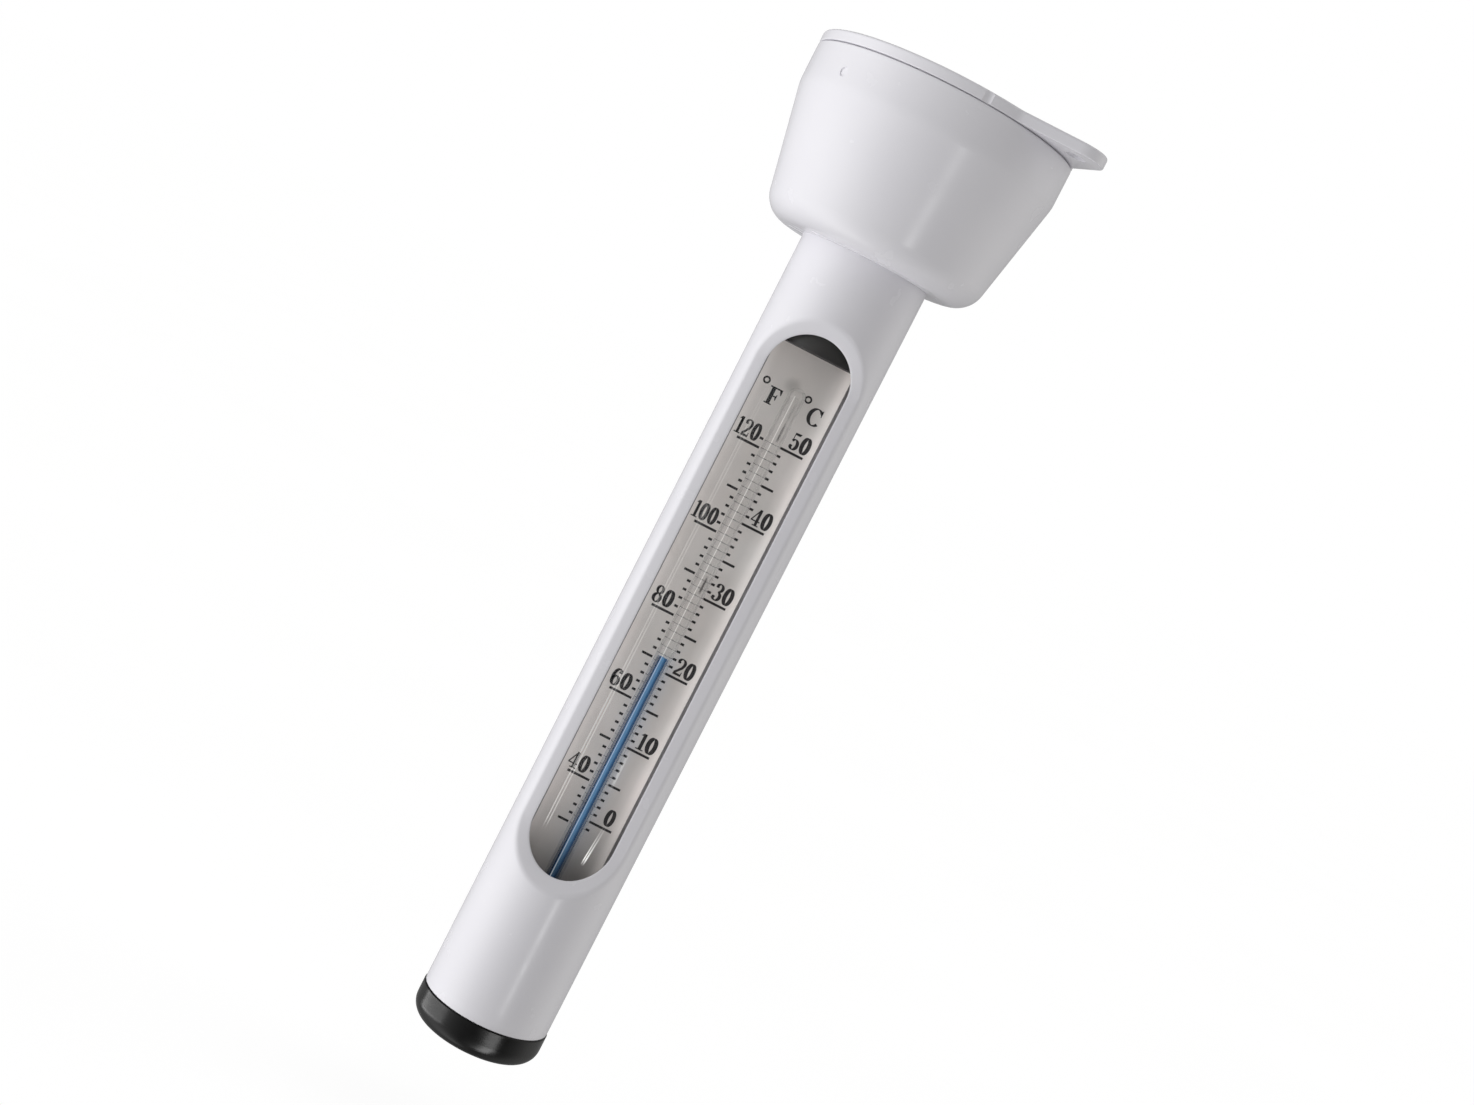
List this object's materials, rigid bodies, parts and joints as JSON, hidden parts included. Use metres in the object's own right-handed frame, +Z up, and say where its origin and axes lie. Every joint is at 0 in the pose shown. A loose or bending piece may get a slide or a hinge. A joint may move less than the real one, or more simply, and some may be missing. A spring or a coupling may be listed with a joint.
{
  "type": "floating pool thermometer",
  "caption": "White tube with a long window over a flat scale card and glass stem, hung under a round hollow float with a tether tab, and closed below by a black cap.",
  "frame": {"origin": "centre of the end cap's flat bottom face", "axes": "+Z up along the tube towards the float, the window faces -Y"},
  "size_m": [0.061, 0.057, 0.217],
  "materials": {
    "white_plastic": "glossy moulded",
    "black_plastic": "glossy moulded",
    "clear_plastic": "clear, polished",
    "stem_glass": "clear, polished",
    "card": "satin, printed",
    "blue_liquid": "liquid",
    "black_rubber": "matte",
    "grey_foam": "matte",
    "steel": "turned"
  },
  "bodies": {
    "thermometer": {"casing_tube": "white_plastic", "window_sleeve": "clear_plastic", "ballast_weight": "steel", "bulb_pad": "grey_foam", "glass_stem": "stem_glass", "bulb_liquid": "blue_liquid", "indicator_column": "blue_liquid", "scale_card": "card", "lower_bung": "black_rubber", "upper_bung": "black_rubber", "tube_plug": "white_plastic", "tube_plug_seal": "black_rubber", "float_bowl": "white_plastic", "collar_seal": "black_rubber", "float_lid": "white_plastic", "lid_seal": "black_rubber"},
    "liquid_level": {"indicator_meniscus": "blue_liquid"},
    "cap": {"end_cap": "black_plastic", "end_cap_seal": "black_rubber"}
  },
  "joints": [
    {"name": "level_rise", "type": "slide", "parent": "thermometer", "child": "liquid_level", "axis": [0, 0, 1], "range_m": [-0.0392, 0.0496], "deforming": ["indicator_column"]},
    {"name": "cap_pull", "type": "slide", "parent": "thermometer", "child": "cap", "axis": [0, 0, -1], "range_m": [0, 0.02]}
  ]
}
